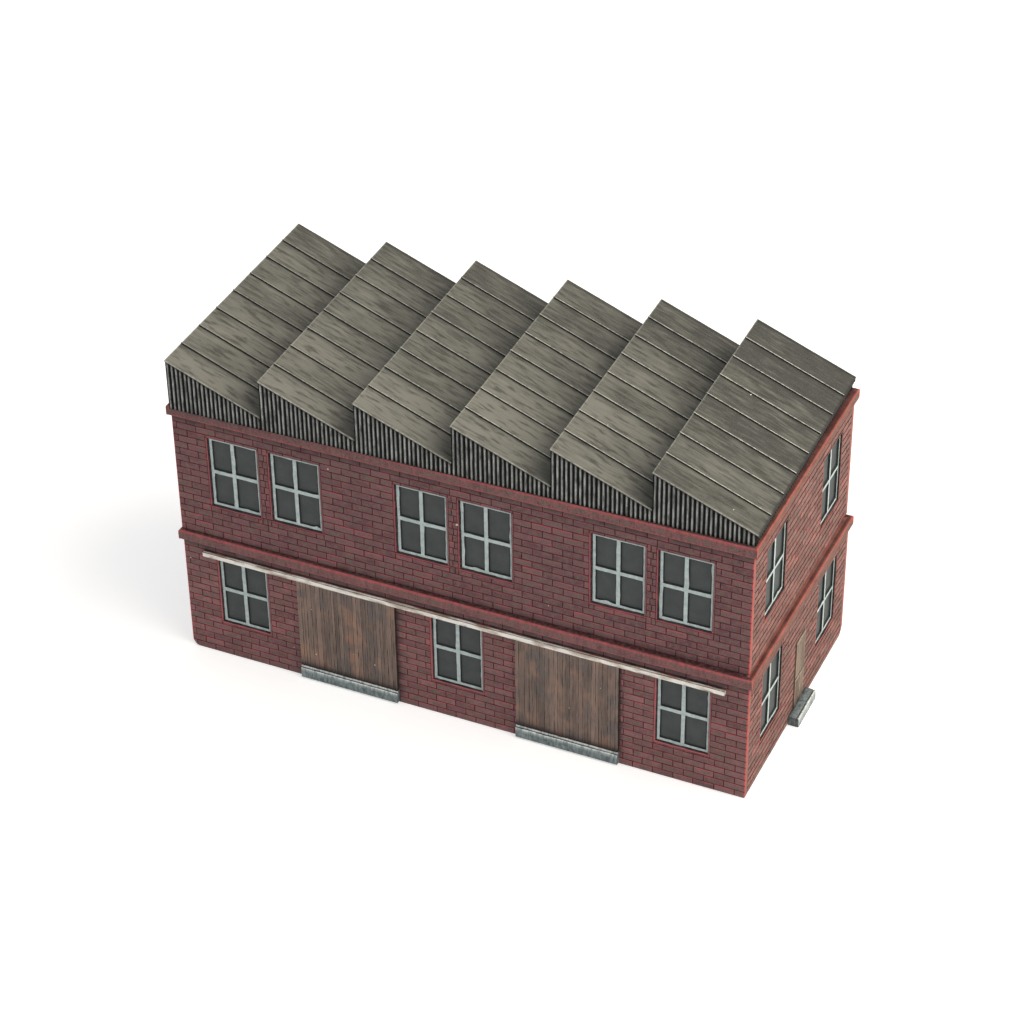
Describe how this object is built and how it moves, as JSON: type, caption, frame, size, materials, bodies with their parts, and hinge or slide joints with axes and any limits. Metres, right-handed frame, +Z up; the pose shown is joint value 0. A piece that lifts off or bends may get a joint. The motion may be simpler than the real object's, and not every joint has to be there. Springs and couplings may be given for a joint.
{
  "type": "scale model factory",
  "caption": "Two-storey brick factory as a painted desk-size model, with a saw-tooth roof, ledges, sliding plank doors on a rail and a side door.",
  "frame": {"origin": "centre of the ground storey's footprint, on the surface the model stands on", "axes": "+X along the front towards the end with the side door, +Y from the front to the back, +Z up"},
  "size_m": [0.1235, 0.0595, 0.0697],
  "materials": {
    "brick": "matte paint",
    "ledge": "matte paint",
    "window": "matte paint",
    "door_planks": "matte paint",
    "side_door": "matte paint",
    "rail": "matte paint",
    "step": "matte paint",
    "roof_sheet": "matte paint",
    "corrugated": "matte paint",
    "floor": "matte paint"
  },
  "bodies": {
    "root": {"base_floor": "floor", "cornice_back": "ledge", "cornice_front": "ledge", "cornice_left": "ledge", "cornice_right": "ledge", "door_rail": "rail", "door_sills": "step", "gable_back": "corrugated", "gable_front": "corrugated", "ground_wall_back": "brick", "ground_wall_front": "brick", "ground_wall_left": "brick", "ground_wall_right": "brick", "roof_riser_1": "corrugated", "roof_riser_2": "corrugated", "roof_riser_3": "corrugated", "roof_riser_4": "corrugated", "roof_riser_5": "corrugated", "roof_riser_6": "corrugated", "roof_slope_1": "roof_sheet", "roof_slope_2": "roof_sheet", "roof_slope_3": "roof_sheet", "roof_slope_4": "roof_sheet", "roof_slope_5": "roof_sheet", "roof_slope_6": "roof_sheet", "side_door": "side_door", "side_step": "step", "sliding_door_left": "door_planks", "sliding_door_right": "door_planks", "string_course_back": "ledge", "string_course_front": "ledge", "string_course_left": "ledge", "string_course_right": "ledge", "upper_floor": "floor", "upper_wall_back": "brick", "upper_wall_front": "brick", "upper_wall_left": "brick", "upper_wall_right": "brick", "windows_back_ground": "window", "windows_back_upper": "window", "windows_front_ground": "window", "windows_front_upper": "window", "windows_left_end": "window", "windows_right_end": "window"}
  },
  "joints": []
}
